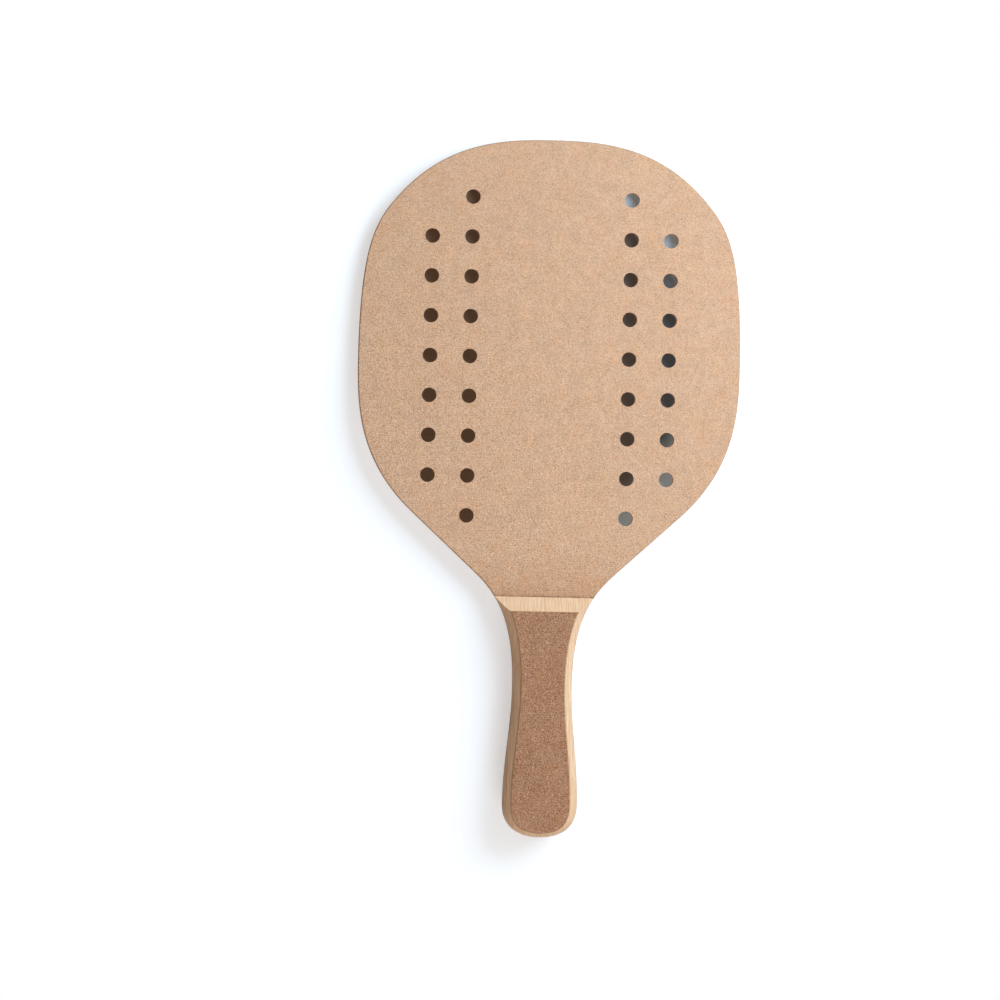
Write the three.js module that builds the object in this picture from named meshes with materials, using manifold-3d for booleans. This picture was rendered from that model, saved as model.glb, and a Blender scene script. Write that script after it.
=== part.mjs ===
import * as THREE from 'three';
import { mergeVertices } from 'three/addons/utils/BufferGeometryUtils.js';
import Module from 'manifold-3d';

// A wooden beach racket for frescobol, in millimetres. A drilled fibreboard blade runs on as a tang
// through the whole handle, a solid wood scale is glued on each face of the tang, and a thin grip
// pad is glued on each scale. X runs across the blade, Y from the butt to the tip and Z out of the
// front face. The origin is the middle of the racket, halfway through the board.

// Blade: its length runs from the tip to the foot, which is where the scales of the handle begin
const bladeLength = 229.3;
const shoulderWidth = 160.6;
const shoulderFromTip = 32.8;
const shoulderAngle = 51.7;
const bladeWidth = 192;
const widestFromTip = 112;
const taperWidth = 134.8;
const taperLength = 30.3;

// Handle: the straight taper of the blade ends at the neck, a little above the foot
const handleLength = 120.7;
const neckWidth = 68.9;
const neckAboveFoot = 11;
const waistWidth = 29.8;
const waistFromButt = 76;
const swellWidth = 37.5;
const swellFromButt = 16.5;

// Board, with the outer edge of the blade lightly eased
const boardThickness = 6;
const edgeEase = 0.5;

// Air holes: a square grid, two columns on each side, kept clear of the edge by the wood around them
const holeDiameter = 7.4;
const holePitch = 20;
const middleRowFromTip = 109.2;
const innerColumnFromAxis = 40;
const columnsEachSide = 2;
const woodAroundHole = 15;

// Handle build-up on each face of the board
const glueThickness = 0.15;
const scaleThickness = 6.5;
const padThickness = 1.2;

// Shaping of the handle: how far the scale draws in at its sides, its butt and its sloping end
const sideRun = 3.7;
const buttRun = 2.3;
const slopeRun = 7.2;
const padEdgeRun = 0.4;
const sideCrownShare = 0.167;

// Fullness of the outline's curves: how far each one holds its heading as it leaves its first
// station and as it comes to its last, as shares of the straight distance between the two
const crownShares = [0.283, 0.465];
const shoulderShares = [0.175, 0.685];
const flankShares = [0.286, 0.46];
const neckShares = [0.297, 0.492];
const gripShares = [0.363, 0.384];
const buttShares = [0.534, 0.336];

// Finishes
const fibreboard = { color: '#d5b193', roughness: 0.8 };
const paleWood = { color: '#ebc9a5', roughness: 0.6 };
const gripBoard = { color: '#a77d62', roughness: 0.85 };
const driedGlue = { color: '#a8804f', roughness: 0.5 };

// Facets
const bladeCurveSteps = 28;
const handleCurveSteps = 24;
const crownSteps = 6;
const holeFacets = 32;

// Cutting tools run past the stock by this much
const overrun = 2;

// Heights and places that follow from the sizes
const tipY = (bladeLength + handleLength) / 2;
const buttY = -tipY;
const footY = buttY + handleLength;
const neckY = footY + neckAboveFoot;
const faceZ = boardThickness / 2;
const scaleBaseZ = faceZ + glueThickness;
const scaleTopZ = scaleBaseZ + scaleThickness;
const padBaseZ = scaleTopZ + glueThickness;
const padTopZ = padBaseZ + padThickness;

const wasm = await Module();
wasm.setup();

// A closed geometry as a solid that can be joined and cut
function toSolid(geometry) {
  geometry.deleteAttribute('normal');
  geometry.deleteAttribute('uv');
  const merged = mergeVertices(geometry);
  return new wasm.Manifold(new wasm.Mesh({
    numProp: 3,
    vertProperties: new Float32Array(merged.attributes.position.array),
    triVerts: new Uint32Array(merged.index.array),
  }));
}

// A finished solid as a geometry
function toGeometry(solid) {
  const mesh = solid.getMesh();
  const geometry = new THREE.BufferGeometry();
  geometry.setAttribute('position', new THREE.BufferAttribute(new Float32Array(mesh.vertProperties), 3));
  geometry.setIndex(new THREE.BufferAttribute(new Uint32Array(mesh.triVerts), 1));
  geometry.computeVertexNormals();
  return geometry;
}

// A point that the outline passes through, with the direction in which it does so
function station(x, y, heading) {
  return { point: new THREE.Vector2(x, y), heading };
}

// The curve between two stations, along their headings
function bend(from, to, [leavingShare, comingShare]) {
  const distance = from.point.distanceTo(to.point);
  const leaving = from.point.clone().addScaledVector(from.heading, distance * leavingShare);
  const coming = to.point.clone().addScaledVector(to.heading, -distance * comingShare);
  return new THREE.CubicBezierCurve(from.point, leaving, coming, to.point);
}

// The right half of the outline, from the tip round to the butt
function halfOutline() {
  const outwards = new THREE.Vector2(1, 0);
  const down = new THREE.Vector2(0, -1);
  const inwards = new THREE.Vector2(-1, 0);
  const shoulderTurn = THREE.MathUtils.degToRad(-shoulderAngle);
  const roundShoulder = new THREE.Vector2(Math.cos(shoulderTurn), Math.sin(shoulderTurn));
  const taperFall = new THREE.Vector2((neckWidth - taperWidth) / 2, -taperLength).normalize();

  const tip = station(0, tipY, outwards);
  const shoulder = station(shoulderWidth / 2, tipY - shoulderFromTip, roundShoulder);
  const widest = station(bladeWidth / 2, tipY - widestFromTip, down);
  const taper = station(taperWidth / 2, neckY + taperLength, taperFall);
  const neck = station(neckWidth / 2, neckY, taperFall);
  const waist = station(waistWidth / 2, buttY + waistFromButt, down);
  const swell = station(swellWidth / 2, buttY + swellFromButt, down);
  const butt = station(0, buttY, inwards);

  return {
    blade: [
      bend(tip, shoulder, crownShares),
      bend(shoulder, widest, shoulderShares),
      bend(widest, taper, flankShares),
    ],
    handle: [
      bend(neck, waist, neckShares),
      bend(waist, swell, gripShares),
      bend(swell, butt, buttShares),
    ],
  };
}

// Points along a run of curves, each with the direction that faces out of the outline
function sample(curves, steps) {
  const points = [];
  curves.forEach((curve, index) => {
    const first = index === 0 ? 0 : 1;
    for (let step = first; step <= steps; step += 1) {
      const tangent = curve.getTangent(step / steps);
      points.push({
        point: curve.getPoint(step / steps),
        outward: new THREE.Vector2(-tangent.y, tangent.x),
      });
    }
  });
  return points;
}

// A closed ring from right-half points that end at the butt, drawn in by a share of the handle's
// shaping: by the side run where the outline faces sideways, by the butt run where it faces down
function ring(halfPoints, drawnInShare) {
  const right = halfPoints.map(({ point, outward }) => {
    const run = sideRun * outward.x ** 2 + buttRun * outward.y ** 2;
    return point.clone().addScaledVector(outward, -run * drawnInShare);
  });
  const left = right.slice(0, -1).map(({ x, y }) => new THREE.Vector2(-x, y));
  return [...right.reverse(), ...left];
}

// A solid between rings of equal length that are stacked in Z
function loft(rings, heights) {
  const count = rings[0].length;
  const positions = rings.flatMap((points, level) => points.flatMap(({ x, y }) => [x, y, heights[level]]));
  const index = [];
  for (let level = 0; level < rings.length - 1; level += 1) {
    for (let corner = 0; corner < count; corner += 1) {
      const next = (corner + 1) % count;
      const low = level * count;
      const high = low + count;
      index.push(low + corner, low + next, high + next);
      index.push(low + corner, high + next, high + corner);
    }
  }
  const top = (rings.length - 1) * count;
  for (const [a, b, c] of THREE.ShapeUtils.triangulateShape(rings[0], [])) {
    index.push(c, b, a);
  }
  for (const [a, b, c] of THREE.ShapeUtils.triangulateShape(rings.at(-1), [])) {
    index.push(top + a, top + b, top + c);
  }
  const geometry = new THREE.BufferGeometry();
  geometry.setAttribute('position', new THREE.Float32BufferAttribute(positions, 3));
  geometry.setIndex(index);
  return geometry;
}

// How far the handle is drawn in at a height, as a share of its runs: the crowned side of the
// scale starts steeply at the board, leans in more and more, and runs on as the pad's edge
function drawnInShareAt(height) {
  if (height <= scaleTopZ) {
    const rise = (height - faceZ) / (scaleTopZ - faceZ);
    return rise - sideCrownShare * 4 * rise * (1 - rise);
  }
  return 1 + (padEdgeRun / sideRun) * (height - scaleTopZ) / (padTopZ - scaleTopZ);
}

// Everything that lies under the sloping end of the handle, on the front face
function underSlope() {
  const slope = slopeRun / (scaleTopZ - faceZ);
  const lowZ = faceZ - overrun;
  const highZ = padTopZ + overrun;
  const profile = new THREE.Shape([
    new THREE.Vector2(buttY - overrun, lowZ),
    new THREE.Vector2(footY + overrun * slope, lowZ),
    new THREE.Vector2(footY - (highZ - faceZ) * slope, highZ),
    new THREE.Vector2(buttY - overrun, highZ),
  ]);
  const geometry = new THREE.ExtrudeGeometry(profile, { depth: bladeWidth, bevelEnabled: false });
  geometry.translate(0, 0, -bladeWidth / 2);
  const alongY = new THREE.Vector3(0, 1, 0);
  const alongZ = new THREE.Vector3(0, 0, 1);
  const alongX = new THREE.Vector3(1, 0, 0);
  geometry.applyMatrix4(new THREE.Matrix4().makeBasis(alongY, alongZ, alongX));
  return toSolid(geometry);
}

// One layer of the handle between two heights, with its sloping end
function handleLayer(handlePoints, fromZ, toZ, steps = 1) {
  const heights = Array.from({ length: steps + 1 }, (_, step) => fromZ + (toZ - fromZ) * step / steps);
  const rings = heights.map((height) => ring(handlePoints, drawnInShareAt(height)));
  return toGeometry(toSolid(loft(rings, heights)).intersect(underSlope()));
}

// The middle of each air hole: every place of the grid that has enough wood around it
function holeCentres(bladePoints) {
  const woodBeside = (centre) => Math.min(
    ...bladePoints.map(({ point, outward }) => point.clone().sub(centre).dot(outward)),
  );
  const mostRows = Math.ceil(bladeLength / holePitch);
  const centres = [];
  for (let column = 0; column < columnsEachSide; column += 1) {
    for (let row = -mostRows; row <= mostRows; row += 1) {
      const x = innerColumnFromAxis + column * holePitch;
      const right = new THREE.Vector2(x, tipY - middleRowFromTip + row * holePitch);
      if (woodBeside(right) >= woodAroundHole) {
        centres.push(right, new THREE.Vector2(-right.x, right.y));
      }
    }
  }
  return centres;
}

// The board: eased round the blade, square along the tang where the scales meet it, and drilled
function bladeGeometry(bladePoints, handlePoints) {
  const wholeOutline = ring([...bladePoints, ...handlePoints], 0).slice(0, -1);
  const board = new THREE.ExtrudeGeometry(new THREE.Shape(wholeOutline), {
    depth: boardThickness - 2 * edgeEase,
    bevelThickness: edgeEase,
    bevelSize: edgeEase,
    bevelOffset: -edgeEase,
    bevelSegments: 1,
  });
  board.translate(0, 0, edgeEase - faceZ);

  const tang = new THREE.ExtrudeGeometry(new THREE.Shape(ring(handlePoints, 0)), {
    depth: boardThickness,
    bevelEnabled: false,
  });
  tang.translate(0, 0, -faceZ);
  const belowFoot = new THREE.BoxGeometry(bladeWidth, handleLength + overrun, boardThickness + overrun);
  belowFoot.translate(0, footY - (handleLength + overrun) / 2, 0);

  let solid = toSolid(board).add(toSolid(tang).intersect(toSolid(belowFoot)));
  for (const { x, y } of holeCentres(bladePoints)) {
    const drill = new THREE.CylinderGeometry(
      holeDiameter / 2,
      holeDiameter / 2,
      boardThickness + overrun,
      holeFacets,
    );
    drill.rotateX(Math.PI / 2);
    drill.translate(x, y, 0);
    solid = solid.subtract(toSolid(drill));
  }
  return toGeometry(solid);
}

function piece(name, finish, geometry) {
  const mesh = new THREE.Mesh(geometry, new THREE.MeshStandardMaterial({ ...finish, metalness: 0 }));
  mesh.name = name;
  return mesh;
}

// The layers on one face of the tang, from the board outwards
function handleSide(side, handlePoints) {
  const scaleGlue = handleLayer(handlePoints, faceZ, scaleBaseZ);
  const handleScale = handleLayer(handlePoints, scaleBaseZ, scaleTopZ, crownSteps);
  const padGlue = handleLayer(handlePoints, scaleTopZ, padBaseZ);
  const gripPad = handleLayer(handlePoints, padBaseZ, padTopZ);
  const group = new THREE.Group();
  group.add(
    piece(`${side}_scale_glue`, driedGlue, scaleGlue),
    piece(`${side}_handle_scale`, paleWood, handleScale),
    piece(`${side}_pad_glue`, driedGlue, padGlue),
    piece(`${side}_grip_pad`, gripBoard, gripPad),
  );
  return group;
}

const outline = halfOutline();
const bladePoints = sample(outline.blade, bladeCurveSteps);
const handlePoints = sample(outline.handle, handleCurveSteps);

const racket = new THREE.Group();
racket.add(piece('blade', fibreboard, bladeGeometry(bladePoints, handlePoints)));
racket.add(handleSide('front', handlePoints));
const backSide = handleSide('back', handlePoints);
backSide.rotation.y = Math.PI;
racket.add(backSide);

export default racket;
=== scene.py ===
import bpy
import math
from mathutils import Matrix, Vector


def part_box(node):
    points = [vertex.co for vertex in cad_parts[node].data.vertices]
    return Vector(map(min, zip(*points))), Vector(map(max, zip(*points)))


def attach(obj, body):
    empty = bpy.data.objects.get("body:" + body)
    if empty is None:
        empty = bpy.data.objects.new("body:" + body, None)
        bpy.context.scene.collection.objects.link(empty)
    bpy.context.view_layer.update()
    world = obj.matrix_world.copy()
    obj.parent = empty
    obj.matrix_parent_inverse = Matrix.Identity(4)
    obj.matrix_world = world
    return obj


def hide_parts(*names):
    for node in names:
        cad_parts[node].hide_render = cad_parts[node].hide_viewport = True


# A beach racket, dressed for the camera: drilled fibreboard, bare wood handle scales, grip pads.
# Lengths whose names end in Mm are millimetres, all others metres. Angles are degrees.

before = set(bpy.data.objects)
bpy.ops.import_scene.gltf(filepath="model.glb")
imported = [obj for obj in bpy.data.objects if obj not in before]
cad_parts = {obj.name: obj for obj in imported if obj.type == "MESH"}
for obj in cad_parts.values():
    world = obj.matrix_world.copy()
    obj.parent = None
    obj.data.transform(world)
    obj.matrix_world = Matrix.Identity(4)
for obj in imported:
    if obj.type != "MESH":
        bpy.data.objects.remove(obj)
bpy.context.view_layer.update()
mm = 0.001
root = "root"
print("frame loaded:", len(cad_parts), "nodes")

# places that the looks are tied to, read off the frame
bladeLow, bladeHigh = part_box("blade")
boardFaceZ = bladeHigh.z
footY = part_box("front_handle_scale")[1].y


# colours and nodes

# a Mix node for colours: its setting, and its sockets by number, because they share their names
mixOfColours = {"data_type": "RGBA"}
mixShare, mixFirst, mixSecond, mixResult = 0, 6, 7, 2


def linearColour(hexColour):
    # the sRGB curve undone
    channels = [int(hexColour[start:start + 2], 16) / 255 for start in (1, 3, 5)]
    linear = [c / 12.92 if c <= 0.04045 else ((c + 0.055) / 1.055) ** 2.4 for c in channels]
    return (*linear, 1.0)


def perMetre(sizeInMm):        # a texture scale that gives features of this size
    return 1 / (sizeInMm * mm)


def addNode(tree, kind, settings=None, values=None, links=None):
    node = tree.nodes.new(kind)
    for name, value in (settings or {}).items():
        setattr(node, name, value)
    for name, value in (values or {}).items():        # a hex colour is turned to linear
        node.inputs[name].default_value = linearColour(value) if isinstance(value, str) else value
    for name, socket in (links or {}).items():
        tree.links.new(socket, node.inputs[name])
    return node


def newMaterial(name):
    material = bpy.data.materials.new(name)
    material.use_nodes = True
    tree = material.node_tree
    tree.nodes.clear()
    place = addNode(tree, "ShaderNodeTexCoord").outputs["Object"]
    return material, tree, place


def finishMaterial(tree, colour, level, look):
    # the level, from about 0 to 1, is how far the surface stands up and how rough it is
    roughness = addNode(tree, "ShaderNodeMapRange",
                        values={"To Min": look["roughness"] - look["roughnessSpread"],
                                "To Max": look["roughness"] + look["roughnessSpread"]},
                        links={"Value": level})
    bump = addNode(tree, "ShaderNodeBump",
                   values={"Strength": look["bumpStrength"], "Distance": look["reliefMm"] * mm},
                   links={"Height": level})
    surface = addNode(tree, "ShaderNodeBsdfPrincipled",
                      values={"IOR": look["ior"], "Specular IOR Level": look["specular"]},
                      links={"Base Color": colour, "Roughness": roughness.outputs["Result"],
                             "Normal": bump.outputs["Normal"]})
    addNode(tree, "ShaderNodeOutputMaterial", links={"Surface": surface.outputs["BSDF"]})


def wavyPlace(tree, place, sizeMm, swingMm):
    # the place, pushed up to the swing either way, so that what is laid on it comes out crooked
    noise = addNode(tree, "ShaderNodeTexNoise", values={"Scale": perMetre(sizeMm), "Detail": 1.0},
                    links={"Vector": place})
    centred = addNode(tree, "ShaderNodeVectorMath", {"operation": "SUBTRACT"},
                      {1: (0.5, 0.5, 0.5)}, {0: noise.outputs["Color"]})
    push = addNode(tree, "ShaderNodeVectorMath", {"operation": "SCALE"},
                   {"Scale": 2 * swingMm * mm}, {0: centred.outputs["Vector"]})
    moved = addNode(tree, "ShaderNodeVectorMath", {"operation": "ADD"},
                    links={0: place, 1: push.outputs["Vector"]})
    return moved.outputs["Vector"]


def facingMask(tree, axis, none, full):
    # 0 to 1 as the part of the surface's direction that lies along the axis goes from none to full
    place = addNode(tree, "ShaderNodeTexCoord")
    normal = addNode(tree, "ShaderNodeSeparateXYZ", links={"Vector": place.outputs["Normal"]})
    part = addNode(tree, "ShaderNodeMath", {"operation": "ABSOLUTE"},
                   links={0: normal.outputs[axis]})
    mask = addNode(tree, "ShaderNodeMapRange", values={"From Min": none, "From Max": full},
                   links={"Value": part.outputs["Value"]})
    return mask.outputs["Result"]


def seenMask(tree, path):
    # 1 for what is looked at, straight or by way of a mirror, and 0 for what only gives light
    mirrored = addNode(tree, "ShaderNodeMath", {"operation": "MAXIMUM"},
                       links={0: path.outputs["Is Glossy Ray"],
                              1: path.outputs["Is Transmission Ray"]})
    seen = addNode(tree, "ShaderNodeMath", {"operation": "MAXIMUM"},
                   links={0: path.outputs["Is Camera Ray"], 1: mirrored.outputs["Value"]})
    return seen.outputs["Value"]


# boards: patches, speckle and loose fibres, built alike in both kinds

boardBuild = {
    "mottleFrom": 0.3, "mottleTo": 0.7, "tintShare": 0.5,
    "fibreCoreShare": 0.2, "fibreEndShare": 0.5,        # of its length and width, from its middle
}


def fibreMask(tree, place, layer):
    # one short fibre in each cell, lying any way in the plane of the board
    shifted = addNode(tree, "ShaderNodeVectorMath", {"operation": "ADD"},
                      {1: (layer["shiftMm"] * mm, layer["shiftMm"] * mm, 0)}, {0: place})
    cells = addNode(tree, "ShaderNodeTexVoronoi", {"voronoi_dimensions": "2D"},
                    {"Scale": perMetre(layer["cellMm"])}, {"Vector": shifted.outputs["Vector"]})
    chance = addNode(tree, "ShaderNodeSeparateColor", links={"Color": cells.outputs["Color"]})
    fromMiddle = addNode(tree, "ShaderNodeVectorMath", {"operation": "SUBTRACT"},
                         links={0: shifted.outputs["Vector"], 1: cells.outputs["Position"]})
    turn = addNode(tree, "ShaderNodeMath", {"operation": "MULTIPLY"}, {1: 2 * math.pi},
                   {0: chance.outputs["Red"]})
    turned = addNode(tree, "ShaderNodeVectorRotate", {"rotation_type": "Z_AXIS"},
                     links={"Vector": fromMiddle.outputs["Vector"], "Angle": turn.outputs["Value"]})
    sides = addNode(tree, "ShaderNodeSeparateXYZ", links={"Vector": turned.outputs["Vector"]})
    present = addNode(tree, "ShaderNodeMath", {"operation": "LESS_THAN"}, {1: layer["share"]},
                      {0: chance.outputs["Green"]})
    mask = present.outputs["Value"]
    for side, size in (("X", layer["lengthMm"]), ("Y", layer["widthMm"])):
        distance = addNode(tree, "ShaderNodeMath", {"operation": "ABSOLUTE"},
                           links={0: sides.outputs[side]})
        fade = addNode(tree, "ShaderNodeMapRange", {"interpolation_type": "SMOOTHSTEP"},
                       {"From Min": size * mm * boardBuild["fibreCoreShare"],
                        "From Max": size * mm * boardBuild["fibreEndShare"],
                        "To Min": 1.0, "To Max": 0.0},
                       {"Value": distance.outputs["Value"]})
        both = addNode(tree, "ShaderNodeMath", {"operation": "MULTIPLY"},
                       links={0: mask, 1: fade.outputs["Result"]})
        mask = both.outputs["Value"]
    return mask


def mottle(tree, place, sizeMm, first, second):
    # two colours in patches of all sizes up to the one given
    noise = addNode(tree, "ShaderNodeTexNoise",
                    values={"Scale": perMetre(sizeMm), "Detail": 4.0, "Roughness": 0.7},
                    links={"Vector": place})
    spread = addNode(tree, "ShaderNodeMapRange",
                     values={"From Min": boardBuild["mottleFrom"],
                             "From Max": boardBuild["mottleTo"]},
                     links={"Value": noise.outputs["Fac"]})
    mottled = addNode(tree, "ShaderNodeMix", mixOfColours, {mixFirst: first, mixSecond: second},
                      {mixShare: spread.outputs["Result"]})
    return mottled.outputs[mixResult]


def softPatches(tree, place, look):
    # light and dark patches, mixed with cool and warm ones
    blotches = mottle(tree, place, look["blotchMm"], look["blotchDark"], look["blotchLight"])
    tints = mottle(tree, place, look["tintMm"], look["tintCool"], look["tintWarm"])
    patches = addNode(tree, "ShaderNodeMix", mixOfColours, {mixShare: boardBuild["tintShare"]},
                      {mixFirst: blotches, mixSecond: tints})
    return patches.outputs[mixResult]


def felted(tree, place, colour, look):
    # the pressed fibres of a board: a fine speckle, then loose fibres and crumbs on top
    crooked = wavyPlace(tree, place, look["curlMm"], look["curlSwingMm"])
    height = None
    for fleck in look["flecks"]:
        noise = addNode(tree, "ShaderNodeTexNoise",
                        values={"Scale": perMetre(fleck["sizeMm"]), "Detail": 2.0,
                                "Roughness": 0.6},
                        links={"Vector": crooked})
        spread = addNode(tree, "ShaderNodeMapRange",
                         values={"From Min": fleck["low"], "From Max": fleck["high"],
                                 "To Max": fleck["strength"]},
                         links={"Value": noise.outputs["Fac"]})
        speckled = addNode(tree, "ShaderNodeMix", mixOfColours, {mixSecond: fleck["colour"]},
                           {mixShare: spread.outputs["Result"], mixFirst: colour})
        colour = speckled.outputs[mixResult]
        height = height or noise.outputs["Fac"]

    for layer in look["fibres"]:
        mask = fibreMask(tree, crooked, layer)
        shown = addNode(tree, "ShaderNodeMath", {"operation": "MULTIPLY"}, {1: layer["strength"]},
                        {0: mask})
        strewn = addNode(tree, "ShaderNodeMix", mixOfColours, {mixSecond: layer["colour"]},
                         {mixShare: shown.outputs["Value"], mixFirst: colour})
        colour = strewn.outputs[mixResult]
        raised = addNode(tree, "ShaderNodeMath", {"operation": "MULTIPLY_ADD"},
                         {1: layer["raise"]}, {0: mask, 2: height})
        height = raised.outputs["Value"]
    return colour, height


# Medium density fibreboard, sanded and left raw: a warm tan felt of tiny fibres without direction,
# quite matt, with stray pale fibres and dark specks, and with a browner, fuzzy edge where it was
# routed. Painted shade: fewer flecks towards the upper right, darker towards the foot, darker eased
# rims.
fibreboardLook = {
    "blotchMm": 5.0, "blotchDark": "#c39b7c", "blotchLight": "#edc8a9",
    "tintMm": 9.0, "tintCool": "#ceb29d", "tintWarm": "#e2b289",
    "curlMm": 1.3, "curlSwingMm": 0.3,
    "flecks": [
        {"sizeMm": 0.62, "low": 0.46, "high": 0.68, "strength": 0.82, "colour": "#ac8160"},
        {"sizeMm": 0.5, "low": 0.5, "high": 0.7, "strength": 0.8, "colour": "#f4dfc1"},
    ],
    "fibres": [
        {"cellMm": 1.1, "lengthMm": 1.3, "widthMm": 0.4, "share": 0.55, "shiftMm": 3.1,
         "strength": 0.58, "raise": 0.3, "colour": "#f2ddc0"},
        {"cellMm": 1.2, "lengthMm": 1.1, "widthMm": 0.4, "share": 0.55, "shiftMm": 7.7,
         "strength": 0.58, "raise": -0.2, "colour": "#a27656"},
        {"cellMm": 6.0, "lengthMm": 2.2, "widthMm": 0.45, "share": 0.35, "shiftMm": 11.3,
         "strength": 0.6, "raise": 0.5, "colour": "#fae6cc"},
        {"cellMm": 2.8, "lengthMm": 0.9, "widthMm": 0.7, "share": 0.4, "shiftMm": 17.9,
         "strength": 0.5, "raise": -0.4, "colour": "#8a6549"},
    ],
    # painted shade: the speckle fades towards the upper right, standing in for relief shading that
    # raking light brings out on the left
    "speckleFadeWay": (0.7, 0.7, 0.0), "fullSpeckleAtMm": -30.0, "leastSpeckleAtMm": 90.0, "speckleFadeShare": 0.34,
    "footFrom": 0.35, "footTo": 0.65,
    # painted shade darkening the board towards the foot; the last layer is the thin dark glue joint
    "foot": [
        {"leastMm": 24.0, "mostMm": 36.0, "softMm": 30.0, "raggedMm": 9.0, "strength": 0.25,
         "colour": "#d8b898"},
        {"leastMm": 4.0, "mostMm": 7.0, "softMm": 6.0, "raggedMm": 2.5, "strength": 0.2,
         "colour": "#c6b2a4"},
        {"leastMm": 0.8, "mostMm": 1.7, "softMm": 1.3, "raggedMm": 0.9, "strength": 0.35,
         "colour": "#bdaba4"},
        {"leastMm": -0.1, "mostMm": 0.9, "softMm": 0.35, "raggedMm": 2.2, "strength": 0.68,
         "colour": "#7b6865"},
    ],
    # painted shade: the eased rims darkened a little, damping the light they catch
    "rimShadeFacing": (0.97, 0.75), "rimShadeColour": "#efeeed",
    "edgeFacing": (0.65, 0.4), "edgeGrainMm": 0.5, "edgeDark": "#b08460", "edgeLight": "#d6ab84",
    "roughness": 0.72, "roughnessSpread": 0.1, "bumpStrength": 0.5, "reliefMm": 0.1,
    "ior": 1.5, "specular": 0.4,
}


def footShadeAndJoint(tree, place, colour, look):
    # painted shade that darkens the board towards the foot, where the scale's slope shades it and
    # the light falls off towards the neck, ending in a thin broken dark line at the glue joint
    along = addNode(tree, "ShaderNodeSeparateXYZ", links={"Vector": place})
    for layer in look["foot"]:
        ragged = addNode(tree, "ShaderNodeTexNoise",
                         values={"Scale": perMetre(layer["raggedMm"]), "Detail": 2.0},
                         links={"Vector": place})
        reach = addNode(tree, "ShaderNodeMapRange",
                        values={"From Min": look["footFrom"], "From Max": look["footTo"],
                                "To Min": footY + layer["leastMm"] * mm,
                                "To Max": footY + layer["mostMm"] * mm},
                        links={"Value": ragged.outputs["Fac"]})
        near = addNode(tree, "ShaderNodeMath", {"operation": "SUBTRACT"},
                       links={0: reach.outputs["Result"], 1: along.outputs["Y"]})
        shade = addNode(tree, "ShaderNodeMapRange", {"interpolation_type": "SMOOTHSTEP"},
                        {"From Min": 0.0, "From Max": layer["softMm"] * mm,
                         "To Max": layer["strength"]},
                        {"Value": near.outputs["Value"]})
        footShaded = addNode(tree, "ShaderNodeMix", {**mixOfColours, "blend_type": "MULTIPLY"},
                         {mixSecond: layer["colour"]},
                         {mixShare: shade.outputs["Result"], mixFirst: colour})
        colour = footShaded.outputs[mixResult]
    return colour


def sandedFibreboard(look):
    material, tree, place = newMaterial("sandedFibreboard")
    patches = softPatches(tree, place, look)
    colour, height = felted(tree, place, patches, look)

    # painted shade: less speckle towards the upper right, standing in for relief shading that the
    # light brings out more on the left
    speckleFadeWay = addNode(tree, "ShaderNodeVectorMath", {"operation": "DOT_PRODUCT"},
                        {1: look["speckleFadeWay"]}, {0: place})
    speckleFade = addNode(tree, "ShaderNodeMapRange",
                     values={"From Min": look["fullSpeckleAtMm"] * mm,
                             "From Max": look["leastSpeckleAtMm"] * mm, "To Max": look["speckleFadeShare"]},
                     links={"Value": speckleFadeWay.outputs["Value"]})
    reliefShaded = addNode(tree, "ShaderNodeMix", mixOfColours,
                     links={mixShare: speckleFade.outputs["Result"], mixFirst: colour,
                            mixSecond: patches})
    colour = footShadeAndJoint(tree, place, reliefShaded.outputs[mixResult], look)

    # painted shade darkens the eased rims a little, damping the light they catch; the routed wall
    # shows the ends of the fibres
    rimShaded = addNode(tree, "ShaderNodeMix", {**mixOfColours, "blend_type": "MULTIPLY"},
                  {mixSecond: look["rimShadeColour"]},
                  {mixShare: facingMask(tree, "Z", *look["rimShadeFacing"]), mixFirst: colour})
    wall = mottle(tree, place, look["edgeGrainMm"], look["edgeDark"], look["edgeLight"])
    edged = addNode(tree, "ShaderNodeMix", mixOfColours,
                    links={mixShare: facingMask(tree, "Z", *look["edgeFacing"]),
                           mixFirst: rimShaded.outputs[mixResult], mixSecond: wall})
    finishMaterial(tree, edged.outputs[mixResult], height, look)
    return material


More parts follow.
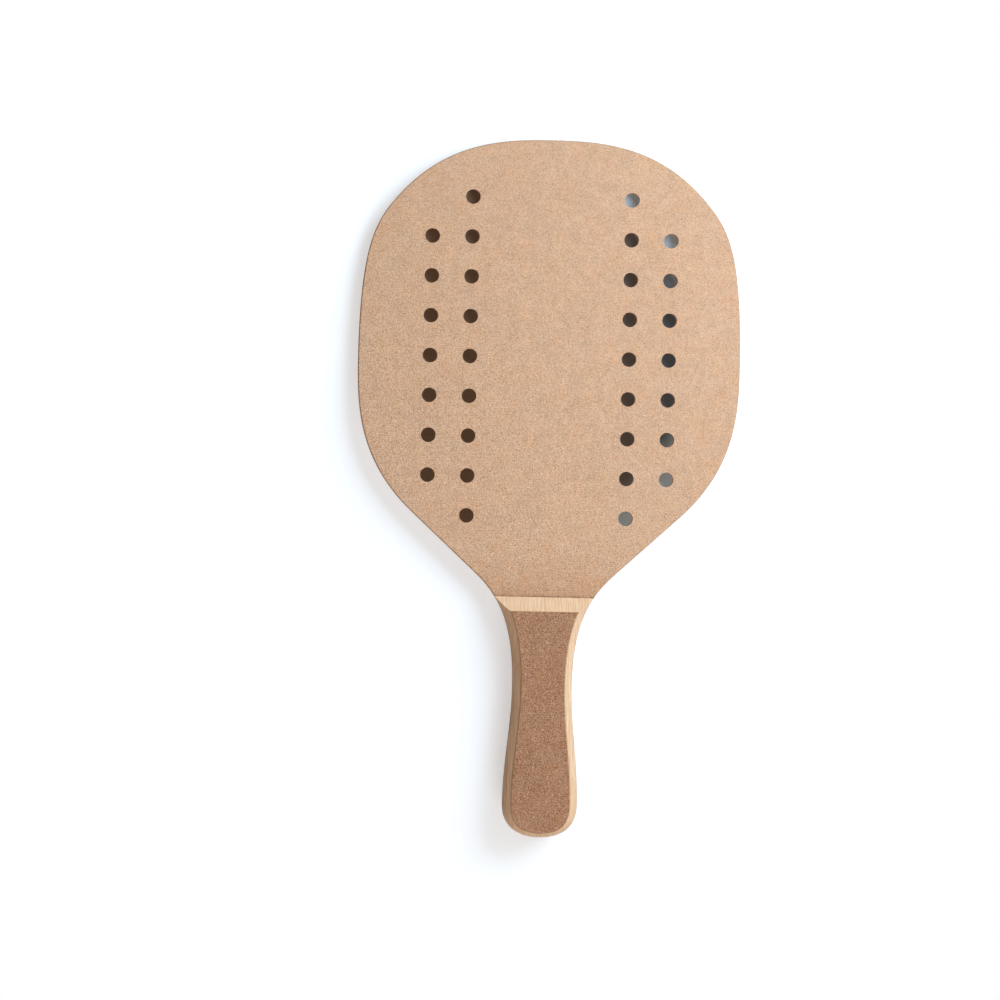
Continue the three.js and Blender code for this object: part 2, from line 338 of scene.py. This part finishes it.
# The grip pads: a darker, coarser board of curled brown fibres, its face left open so that it
# grips, with pale and near-black crumbs in it. Its sides and rounded rims are painted pale, painted
# light that keeps the shaded side from reading as a dark line, and its ends are darker and redder.
gripBoardLook = {
    "blotchMm": 12.0, "blotchDark": "#9b6f50", "blotchLight": "#c79f7d",
    "tintMm": 9.0, "tintCool": "#a88770", "tintWarm": "#ba875d",
    "curlMm": 1.0, "curlSwingMm": 0.35,
    "flecks": [
        {"sizeMm": 0.64, "low": 0.44, "high": 0.66, "strength": 0.88, "colour": "#7e5238"},
        {"sizeMm": 0.52, "low": 0.5, "high": 0.7, "strength": 0.9, "colour": "#d8b69d"},
    ],
    "fibres": [
        {"cellMm": 1.1, "lengthMm": 1.2, "widthMm": 0.42, "share": 0.6, "shiftMm": 5.3,
         "strength": 0.6, "raise": 0.4, "colour": "#d0ae96"},
        {"cellMm": 1.2, "lengthMm": 1.0, "widthMm": 0.45, "share": 0.55, "shiftMm": 9.1,
         "strength": 0.57, "raise": -0.4, "colour": "#764a32"},
        {"cellMm": 4.0, "lengthMm": 1.2, "widthMm": 0.6, "share": 0.35, "shiftMm": 13.7,
         "strength": 0.7, "raise": 0.3, "colour": "#e1c4a3"},
        {"cellMm": 6.5, "lengthMm": 1.0, "widthMm": 0.55, "share": 0.4, "shiftMm": 21.3,
         "strength": 0.75, "raise": -0.5, "colour": "#3f2c22"},
    ],
    # painted light: the sides and rims far paler than the face, so the side in shade shows no dark
    # line
    "edgeFacing": (0.95, 0.75), "edgeGrainMm": 1.2, "edgeDark": "#bd9672", "edgeLight": "#f4d5b3",
    "endFacing": (0.3, 0.6), "endDark": "#6d442e", "endLight": "#d8a888",
    "roughness": 0.88, "roughnessSpread": 0.08, "bumpStrength": 0.6, "reliefMm": 0.12,
    "ior": 1.5, "specular": 0.2,
}


def openGripBoard(look):
    material, tree, place = newMaterial("openGripBoard")
    colour, height = felted(tree, place, softPatches(tree, place, look), look)
    # painted light: the pale sides and rims; the ends darker and redder
    sides = mottle(tree, place, look["edgeGrainMm"], look["edgeDark"], look["edgeLight"])
    ends = mottle(tree, place, look["edgeGrainMm"], look["endDark"], look["endLight"])
    edge = addNode(tree, "ShaderNodeMix", mixOfColours,
                   links={mixShare: facingMask(tree, "Y", *look["endFacing"]), mixFirst: sides,
                          mixSecond: ends})
    edged = addNode(tree, "ShaderNodeMix", mixOfColours,
                    links={mixShare: facingMask(tree, "Z", *look["edgeFacing"]), mixFirst: colour,
                           mixSecond: edge.outputs[mixResult]})
    finishMaterial(tree, edged.outputs[mixResult], height, look)
    return material


# Beech, planed, shaped and fine sanded, no finish: pale straw with close straight grain along the
# handle, faint growth rings that show as stripes, short darker flecks and a few long thin lines.
beechLook = {
    "pale": "#fde3c5", "dark": "#dab084",
    "ringMm": 1.5, "heartFromMiddleMm": (-420.0, -60.0), "lateWoodFrom": 0.45, "ringStrength": 0.2,
    "wobbleMm": (20.0, 60.0, 20.0), "wobbleSwingMm": 2.8,
    "grainMm": (0.5, 16.0, 8.0), "grainFrom": 0.35, "grainTo": 0.7, "grainStrength": 0.8,
    "flecks": [
        {"cellMm": (0.7, 7.0, 6.0), "share": 0.35, "core": 0.1, "rimShaded": 0.28, "strength": 0.34,
         "colour": "#bd8d64"},
        {"cellMm": (1.7, 90.0, 40.0), "share": 0.5, "core": 0.05, "rimShaded": 0.16, "strength": 0.5,
         "colour": "#bd8754"},
    ],
    "roughness": 0.6, "roughnessSpread": 0.08, "bumpStrength": 0.25, "reliefMm": 0.03,
    "ior": 1.5, "specular": 0.16,
}


def growthRings(tree, place, look):
    # shells round a heart that lies outside the handle, each darker towards its outer side
    slow = addNode(tree, "ShaderNodeVectorMath", {"operation": "MULTIPLY"},
                   {1: [perMetre(size) for size in look["wobbleMm"]]}, {0: place})
    wobble = addNode(tree, "ShaderNodeTexNoise", values={"Scale": 1.0, "Detail": 2.0},
                     links={"Vector": slow.outputs["Vector"]})
    heartX, heartZ = look["heartFromMiddleMm"]
    fromHeart = addNode(tree, "ShaderNodeVectorMath", {"operation": "MULTIPLY_ADD"},
                        {1: (1.0, 0.0, 1.0), 2: (-heartX * mm, 0.0, -heartZ * mm)}, {0: place})
    radius = addNode(tree, "ShaderNodeVectorMath", {"operation": "LENGTH"},
                     links={0: fromHeart.outputs["Vector"]})
    uneven = addNode(tree, "ShaderNodeMath", {"operation": "MULTIPLY_ADD"},
                     {1: look["wobbleSwingMm"] * mm},
                     {0: wobble.outputs["Fac"], 2: radius.outputs["Value"]})
    rings = addNode(tree, "ShaderNodeMath", {"operation": "MULTIPLY"},
                    {1: perMetre(look["ringMm"])}, {0: uneven.outputs["Value"]})
    year = addNode(tree, "ShaderNodeMath", {"operation": "FRACT"},
                   links={0: rings.outputs["Value"]})
    lateWood = addNode(tree, "ShaderNodeMapRange", {"interpolation_type": "SMOOTHERSTEP"},
                       {"From Min": look["lateWoodFrom"], "From Max": 1.0,
                        "To Max": look["ringStrength"]},
                       {"Value": year.outputs["Value"]})
    ringed = addNode(tree, "ShaderNodeMix", mixOfColours,
                     {mixFirst: look["pale"], mixSecond: look["dark"]},
                     {mixShare: lateWood.outputs["Result"]})
    return ringed.outputs[mixResult]


def sandedBeech(look):
    material, tree, place = newMaterial("sandedBeech")
    colour = growthRings(tree, place, look)

    # fibres, long along the handle, in sheets that stand on the board
    stretched = addNode(tree, "ShaderNodeVectorMath", {"operation": "MULTIPLY"},
                        {1: [perMetre(size) for size in look["grainMm"]]}, {0: place})
    grain = addNode(tree, "ShaderNodeTexNoise",
                    values={"Scale": 1.0, "Detail": 3.0, "Roughness": 0.6},
                    links={"Vector": stretched.outputs["Vector"]})
    darker = addNode(tree, "ShaderNodeMapRange",
                     values={"From Min": look["grainFrom"], "From Max": look["grainTo"],
                             "To Max": look["grainStrength"]},
                     links={"Value": grain.outputs["Fac"]})
    grained = addNode(tree, "ShaderNodeMix", mixOfColours, {mixSecond: look["dark"]},
                      {mixShare: darker.outputs["Result"], mixFirst: colour})
    colour = grained.outputs[mixResult]

    # flecks, short dashes and long lines along the grain
    for layer in look["flecks"]:
        fleckPlace = addNode(tree, "ShaderNodeVectorMath", {"operation": "MULTIPLY"},
                             {1: [perMetre(size) for size in layer["cellMm"]]}, {0: place})
        cells = addNode(tree, "ShaderNodeTexVoronoi", values={"Scale": 1.0},
                        links={"Vector": fleckPlace.outputs["Vector"]})
        chance = addNode(tree, "ShaderNodeSeparateColor", links={"Color": cells.outputs["Color"]})
        present = addNode(tree, "ShaderNodeMath", {"operation": "LESS_THAN"}, {1: layer["share"]},
                          {0: chance.outputs["Green"]})
        fleck = addNode(tree, "ShaderNodeMapRange", {"interpolation_type": "SMOOTHSTEP"},
                        {"From Min": layer["core"], "From Max": layer["rimShaded"],
                         "To Min": layer["strength"], "To Max": 0.0},
                        {"Value": cells.outputs["Distance"]})
        shown = addNode(tree, "ShaderNodeMath", {"operation": "MULTIPLY"},
                        links={0: fleck.outputs["Result"], 1: present.outputs["Value"]})
        flecked = addNode(tree, "ShaderNodeMix", mixOfColours, {mixSecond: layer["colour"]},
                          {mixShare: shown.outputs["Value"], mixFirst: colour})
        colour = flecked.outputs[mixResult]

    finishMaterial(tree, colour, grain.outputs["Fac"], look)
    return material


# Wood glue, squeezed thin, dried and sanded flush: an amber-brown line with a slight gloss.
glueLook = {
    "patchMm": 2.5, "dark": "#a5804f", "light": "#cfa876",
    "roughness": 0.42, "roughnessSpread": 0.1, "bumpStrength": 0.2, "reliefMm": 0.02,
    "ior": 1.48, "specular": 0.5,
}


def driedGlue(look):
    material, tree, place = newMaterial("driedGlue")
    patch = addNode(tree, "ShaderNodeTexNoise",
                    values={"Scale": perMetre(look["patchMm"]), "Detail": 2.0},
                    links={"Vector": place})
    amber = addNode(tree, "ShaderNodeMix", mixOfColours,
                    {mixFirst: look["dark"], mixSecond: look["light"]},
                    {mixShare: patch.outputs["Fac"]})
    finishMaterial(tree, amber.outputs[mixResult], patch.outputs["Fac"], look)
    return material


fibreboard = sandedFibreboard(fibreboardLook)
gripBoard = openGripBoard(gripBoardLook)
beech = sandedBeech(beechLook)
glue = driedGlue(glueLook)
print("materials made")


# pieces

mergedMm = 0.002        # points closer than this are one
levelMm = 0.01          # points whose heights differ by less than this are level
flatAngle = 0.5         # faces that meet at less than this are one face
sharpAngle = 20         # an edge at more than this is sharp


def mergedCopy(nodeName, pieceName):
    # the node's shape as a new piece, its loose triangles merged and its flat faces whole
    bpy.ops.object.select_all(action="DESELECT")
    piece = bpy.data.objects.new(pieceName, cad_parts[nodeName].data.copy())
    bpy.context.scene.collection.objects.link(piece)
    bpy.context.view_layer.objects.active = piece
    piece.select_set(True)
    bpy.ops.object.mode_set(mode="EDIT")
    bpy.ops.mesh.select_all(action="SELECT")
    bpy.ops.mesh.remove_doubles(threshold=mergedMm * mm)
    bpy.ops.mesh.dissolve_limited(angle_limit=math.radians(flatAngle))
    bpy.ops.object.mode_set(mode="OBJECT")
    return piece


def roundEdges(piece, radiusMm, segments, wanted):
    # rounds the sharp edges that are wanted, which is asked of the two ends of each
    mesh = piece.data
    bpy.ops.object.mode_set(mode="EDIT")
    bpy.ops.mesh.select_mode(type="EDGE")
    bpy.ops.mesh.select_all(action="DESELECT")
    bpy.ops.mesh.edges_select_sharp(sharpness=math.radians(sharpAngle))
    bpy.ops.object.mode_set(mode="OBJECT")
    for edge in mesh.edges:
        ends = [mesh.vertices[index].co for index in edge.vertices]
        edge.select = edge.select and wanted(*ends)
    bpy.ops.object.mode_set(mode="EDIT")
    bpy.ops.mesh.bevel(offset=radiusMm * mm, segments=segments, affect="EDGES",
                       clamp_overlap=True)
    bpy.ops.object.mode_set(mode="OBJECT")


def liesAt(z, a, b):
    return abs(a.z - z) + abs(b.z - z) < levelMm * mm


def dressPiece(piece, material, nodeName, smoothAngle):
    piece.data.materials.clear()
    piece.data.materials.append(material)
    bpy.ops.object.shade_smooth_by_angle(angle=math.radians(smoothAngle))
    flatter = piece.modifiers.new("flatFacesShadeFlat", "WEIGHTED_NORMAL")
    flatter.keep_sharp = True
    bpy.ops.object.modifier_apply(modifier=flatter.name)
    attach(piece, root)
    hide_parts(nodeName)


blade = {"edgeRadiusMm": 0.24, "easedMm": 0.6, "clearOfFootMm": 0.05, "segments": 3,
         "smoothAngle": 50}


def makeBlade(sizes):
    piece = mergedCopy("blade", "drilled_fibreboard")

    # the rims of the holes and the eased outline, where the board isn't covered
    def onRim(point):
        nearFace = abs(point.z) > boardFaceZ - sizes["easedMm"] * mm
        return nearFace and point.y > footY + sizes["clearOfFootMm"] * mm

    roundEdges(piece, sizes["edgeRadiusMm"], sizes["segments"],
               lambda a, b: a.z * b.z > 0 and onRim(a) and onRim(b))
    dressPiece(piece, fibreboard, "blade", sizes["smoothAngle"])


scale = {"mitreRadiusMm": 0.45, "segments": 3, "smoothAngle": 40}


def makeScale(side, sizes):
    nodeName = side + "_handle_scale"
    piece = mergedCopy(nodeName, side + "_beech_scale")
    low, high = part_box(nodeName)
    # all but the edges that are glued to the board or lie on the face that carries the pad
    roundEdges(piece, sizes["mitreRadiusMm"], sizes["segments"],
               lambda a, b: not (liesAt(low.z, a, b) or liesAt(high.z, a, b)))
    dressPiece(piece, beech, nodeName, sizes["smoothAngle"])


pad = {"edgeRadiusMm": 0.25, "segments": 3, "smoothAngle": 40}


def makePad(side, sizes):
    nodeName = side + "_grip_pad"
    piece = mergedCopy(nodeName, side + "_open_grip_pad")
    low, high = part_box(nodeName)
    faceZ = max(low.z, high.z, key=abs)
    roundEdges(piece, sizes["edgeRadiusMm"], sizes["segments"],
               lambda a, b: liesAt(faceZ, a, b))
    dressPiece(piece, gripBoard, nodeName, sizes["smoothAngle"])


makeBlade(blade)
for side in ("front", "back"):
    makeScale(side, scale)
    makePad(side, pad)
    for seam in ("scale", "pad"):
        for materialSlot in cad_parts[side + "_" + seam + "_glue"].material_slots:
            materialSlot.material = glue
print("pieces made")


# floor: the racket lies on the lower edge of its tip and on the upper edge of the back pad

# the paper's colours are linear, because some are brighter than a hex colour can be, which makes up
# for the plain light
floorLook = {
    "sizeM": 8.0, "lit": (0.35, 0.35, 0.35, 1.0), "seen": (1.3, 1.52, 1.74, 1.0),
    # painted light: the paper glows beside the racket and lifts its shadow, less beside the handle
    # than beside the blade
    "paintedGlowShares": (0.385, 0.49), "paintedGlowFromMm": -70.0, "paintedGlowToMm": -10.0,
    # painted shade: the paper under the blade dark, browner on the left and lighter near the right
    # rim
    "paintedShadeLeft": (0.245, 0.195, 0.152, 1.0), "paintedShadeRight": (0.15, 0.208, 0.27, 1.0),
    "underFromMm": 20.0, "underToMm": 60.0, "paintedShadeNearRim": (0.6, 0.87, 1.12, 1.0),
    "rimOval": {"middleMm": 66.0, "halfMm": (64.0, 75.7), "fadeShare": 1.23},
    "underOval": {"middleMm": 66.0, "halfMm": (82.0, 100.0), "fadeShare": 1.05},
    "farOval": {"middleMm": 0.0, "halfMm": (121.0, 195.0), "fadeShare": 1.2},
}


def ovalMask(tree, place, oval):
    # 0 inside the oval, 1 outside
    halfX, halfY = oval["halfMm"]
    fromMiddle = addNode(tree, "ShaderNodeVectorMath", {"operation": "MULTIPLY_ADD"},
                         {1: (perMetre(halfX), perMetre(halfY), 0.0),
                          2: (0.0, -oval["middleMm"] / halfY, 0.0)},
                         {0: place})
    away = addNode(tree, "ShaderNodeVectorMath", {"operation": "LENGTH"},
                   links={0: fromMiddle.outputs["Vector"]})
    mask = addNode(tree, "ShaderNodeMapRange", {"interpolation_type": "SMOOTHSTEP"},
                   {"From Min": 1.0, "From Max": oval["fadeShare"]},
                   {"Value": away.outputs["Value"]})
    return mask.outputs["Result"]


def paintedShadeUnderBlade(tree, place, across, look):
    # painted shade: the paper under the blade darkened, browner on the left, and less dark near the
    # rim on the right
    toRight = addNode(tree, "ShaderNodeMapRange",
                      values={"From Min": look["underFromMm"] * mm,
                              "From Max": look["underToMm"] * mm},
                      links={"Value": across})
    under = addNode(tree, "ShaderNodeMix", mixOfColours,
                    {mixFirst: look["paintedShadeLeft"], mixSecond: look["paintedShadeRight"]},
                    {mixShare: toRight.outputs["Result"]})
    onRight = addNode(tree, "ShaderNodeMath", {"operation": "GREATER_THAN"}, {1: 0.0}, {0: across})
    nearRim = addNode(tree, "ShaderNodeMath", {"operation": "MULTIPLY"},
                      links={0: onRight.outputs["Value"],
                             1: ovalMask(tree, place, look["rimOval"])})
    paintedUnder = addNode(tree, "ShaderNodeMix", mixOfColours, {mixSecond: look["paintedShadeNearRim"]},
                      {mixShare: nearRim.outputs["Value"], mixFirst: under.outputs[mixResult]})
    return paintedUnder.outputs[mixResult]


def whitePaper(look):
    # white paper with painted light and shade: it glows a little beside the racket, which lifts the
    # shadow, is painted dark where the blade covers it, and is pure white further off
    material, tree, place = newMaterial("whitePaper")
    path = addNode(tree, "ShaderNodeLightPath")
    seen = seenMask(tree, path)
    sides = addNode(tree, "ShaderNodeSeparateXYZ", links={"Vector": place})
    uncovered = ovalMask(tree, place, look["underOval"])
    far = ovalMask(tree, place, look["farOval"])

    litPaper = addNode(tree, "ShaderNodeBsdfDiffuse", values={"Color": look["lit"]})
    shown = addNode(tree, "ShaderNodeMix", mixOfColours, {mixSecond: look["seen"]},
                    {mixShare: uncovered,
                     mixFirst: paintedShadeUnderBlade(tree, place, sides.outputs["X"], look)})
    seenPaper = addNode(tree, "ShaderNodeBsdfDiffuse", links={"Color": shown.outputs[mixResult]})
    paper = addNode(tree, "ShaderNodeMixShader",
                    links={0: seen, 1: litPaper.outputs["BSDF"], 2: seenPaper.outputs["BSDF"]})

    # painted light: the glow lifts the shadow more beside the blade than beside the handle
    besideHandle, besideBlade = look["paintedGlowShares"]
    glowing = addNode(tree, "ShaderNodeMapRange",
                      values={"From Min": look["paintedGlowFromMm"] * mm,
                              "From Max": look["paintedGlowToMm"] * mm,
                              "To Min": besideHandle, "To Max": besideBlade},
                      links={"Value": sides.outputs["Y"]})
    glow = addNode(tree, "ShaderNodeMath", {"operation": "MULTIPLY"},
                   links={0: glowing.outputs["Result"], 1: uncovered})
    whiter = addNode(tree, "ShaderNodeMath", {"operation": "MAXIMUM"},
                     links={0: glow.outputs["Value"], 1: far})
    whiteSeen = addNode(tree, "ShaderNodeMath", {"operation": "MULTIPLY"},
                        links={0: whiter.outputs["Value"], 1: seen})
    white = addNode(tree, "ShaderNodeEmission", values={"Color": (1, 1, 1, 1), "Strength": 1.0})
    top = addNode(tree, "ShaderNodeMixShader",
                  links={0: whiteSeen.outputs["Value"], 1: paper.outputs["Shader"],
                         2: white.outputs["Emission"]})

    # from below the floor is clear, so that the back of the racket can be looked at, and the lamp
    # under it shines through
    face = addNode(tree, "ShaderNodeNewGeometry")
    through = addNode(tree, "ShaderNodeMath", {"operation": "MAXIMUM"},
                      links={0: face.outputs["Backfacing"], 1: path.outputs["Is Shadow Ray"]})
    clear = addNode(tree, "ShaderNodeBsdfTransparent")
    oneSided = addNode(tree, "ShaderNodeMixShader",
                       links={0: through.outputs["Value"], 1: top.outputs["Shader"],
                              2: clear.outputs["BSDF"]})
    addNode(tree, "ShaderNodeOutputMaterial", links={"Surface": oneSided.outputs["Shader"]})
    return material


def makeFloor(look):
    tip = Vector((0, bladeHigh.y, bladeLow.z))
    padPoints = [vertex.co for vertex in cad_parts["back_grip_pad"].data.vertices]
    pitch = max(math.atan2(tip.z - point.z, tip.y - point.y) for point in padPoints)
    middle = Vector((0, 0, tip.z - tip.y * math.tan(pitch)))
    bpy.ops.object.select_all(action="DESELECT")
    bpy.ops.mesh.primitive_plane_add(size=look["sizeM"], location=middle, rotation=(pitch, 0, 0))
    floor = bpy.context.object
    floor.name = "floor"
    floor.data.materials.append(whitePaper(look))


makeFloor(floorLook)


# light: a soft box near the right shoulder, a weaker one off the butt, one under the floor that
# shows the back, and a room that is dim on the left

lightLook = {
    "aimM": (0.0, 0.03, 0.0),
    "lamps": {
        "softBox": {"placeM": (0.42, 0.31, 0.46), "sizeM": 0.6, "watts": 4.86,
                    "colour": "#edf8ff"},
        "buttFill": {"placeM": (0.07, -0.70, 0.46), "sizeM": 0.4, "watts": 1.95,
                     "colour": "#ffefe6"},
        "underGlow": {"placeM": (0.10, 0.05, -0.70), "sizeM": 0.6, "watts": 3.0,
                      "colour": "#eef4ff"},
    },
    "room": {"left": "#6b4939", "right": "#a1968c",
             "dimFromShare": -0.2, "dimToShare": -0.9, "pastTipShare": 0.3},
}


def makeLamp(name, lamp, aimM):
    away = Vector(lamp["placeM"]) - Vector(aimM)
    bpy.ops.object.light_add(type="AREA", location=lamp["placeM"],
                             rotation=away.to_track_quat("Z", "Y").to_euler())
    light = bpy.context.object
    light.name = name
    light.data.shape = "SQUARE"
    light.data.size = lamp["sizeM"]
    light.data.energy = lamp["watts"]
    light.data.color = linearColour(lamp["colour"])[:3]


def makeRoom(look):
    # lights from all round above the floor, less and warmer from the left and more past the tip;
    # white where it is seen
    world = bpy.data.worlds.new("paleRoom")
    bpy.context.scene.world = world
    world.use_nodes = True
    tree = world.node_tree
    tree.nodes.clear()
    direction = addNode(tree, "ShaderNodeTexCoord")
    sides = addNode(tree, "ShaderNodeSeparateXYZ", links={"Vector": direction.outputs["Generated"]})
    dim = addNode(tree, "ShaderNodeMapRange", {"interpolation_type": "SMOOTHSTEP"},
                  {"From Min": look["dimFromShare"], "From Max": look["dimToShare"]},
                  {"Value": sides.outputs["X"]})
    colour = addNode(tree, "ShaderNodeMix", mixOfColours,
                     {mixFirst: look["right"], mixSecond: look["left"]},
                     {mixShare: dim.outputs["Result"]})
    pastTip = addNode(tree, "ShaderNodeMath", {"operation": "MULTIPLY_ADD"},
                      {1: look["pastTipShare"], 2: 1.0}, {0: sides.outputs["Y"]})
    aboveFloor = addNode(tree, "ShaderNodeMath", {"operation": "GREATER_THAN"}, {1: 0.0},
                         {0: sides.outputs["Z"]})
    strength = addNode(tree, "ShaderNodeMath", {"operation": "MULTIPLY"},
                       links={0: pastTip.outputs["Value"], 1: aboveFloor.outputs["Value"]})
    lit = addNode(tree, "ShaderNodeBackground",
                  links={"Color": colour.outputs[mixResult], "Strength": strength.outputs["Value"]})
    white = addNode(tree, "ShaderNodeBackground", values={"Color": (1, 1, 1, 1), "Strength": 1.0})
    seen = seenMask(tree, addNode(tree, "ShaderNodeLightPath"))
    room = addNode(tree, "ShaderNodeMixShader",
                   links={0: seen, 1: lit.outputs["Background"], 2: white.outputs["Background"]})
    addNode(tree, "ShaderNodeOutputWorld", links={"Surface": room.outputs["Shader"]})


for lampName, lamp in lightLook["lamps"].items():
    makeLamp(lampName, lamp, lightLook["aimM"])
makeRoom(lightLook["room"])
print("floor and light made")


# camera: straight down on the racket, which leans a little and shows its left side a little more

cameraLook = {
    "distanceM": 3.0, "sideTilt": 2.7, "lean": 1.267,
    "frameMm": 502.46, "centreFromMiddleMm": (-23.26, -5.63),
    "sensorMm": 36.0, "farthestM": 50.0,
}


def makeCamera(look):
    tilt, lean = math.radians(look["sideTilt"]), math.radians(look["lean"])
    towards = Vector((-math.sin(tilt), 0, math.cos(tilt)))
    flatRight = Vector((math.cos(tilt), 0, math.sin(tilt)))
    flatUp = Vector((0, 1, 0))
    right = math.cos(lean) * flatRight + math.sin(lean) * flatUp
    up = math.cos(lean) * flatUp - math.sin(lean) * flatRight
    acrossMm, upMm = look["centreFromMiddleMm"]
    target = (acrossMm * right + upMm * up) * mm
    bpy.ops.object.camera_add()
    camera = bpy.context.object
    place = Matrix((right, up, towards)).transposed().to_4x4()
    place.translation = target + towards * look["distanceM"]
    camera.matrix_world = place
    camera.data.sensor_width = look["sensorMm"]
    camera.data.lens = look["sensorMm"] * look["distanceM"] / (look["frameMm"] * mm)
    camera.data.clip_end = look["farthestM"]
    bpy.context.scene.camera = camera


makeCamera(cameraLook)
bpy.context.scene.view_settings.view_transform = "Standard"
print("camera made")
